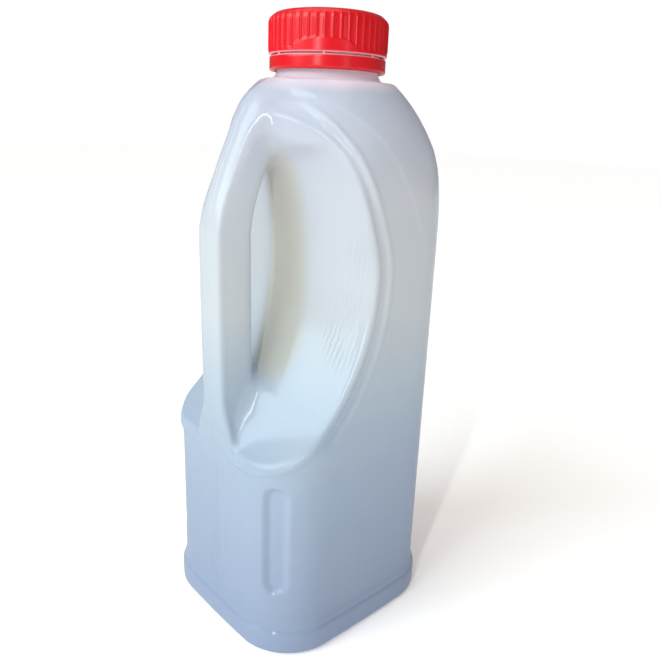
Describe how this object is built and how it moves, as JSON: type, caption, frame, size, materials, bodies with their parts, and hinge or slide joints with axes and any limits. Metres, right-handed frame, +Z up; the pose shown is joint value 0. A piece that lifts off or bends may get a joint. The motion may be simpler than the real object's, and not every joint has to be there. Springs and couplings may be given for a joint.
{
  "type": "ayran bottle",
  "caption": "Milky blow-moulded drink bottle with a see-through side handle, a slanted hand recess, flutes low on the back, and a ribbed red screw cap with a tamper band.",
  "frame": {"origin": "middle of the bottle's length and width, on the surface it stands on", "axes": "+Z up through the neck, -X towards the handle, +X towards the front, mirror plane at Y = 0"},
  "size_m": [0.0886, 0.083, 0.2257],
  "materials": {
    "milky_plastic": "satin, slightly see-through natural plastic",
    "red_plastic": "satin moulded plastic"
  },
  "bodies": {
    "root": {"bottle": "milky_plastic", "cap": "red_plastic"}
  },
  "joints": []
}
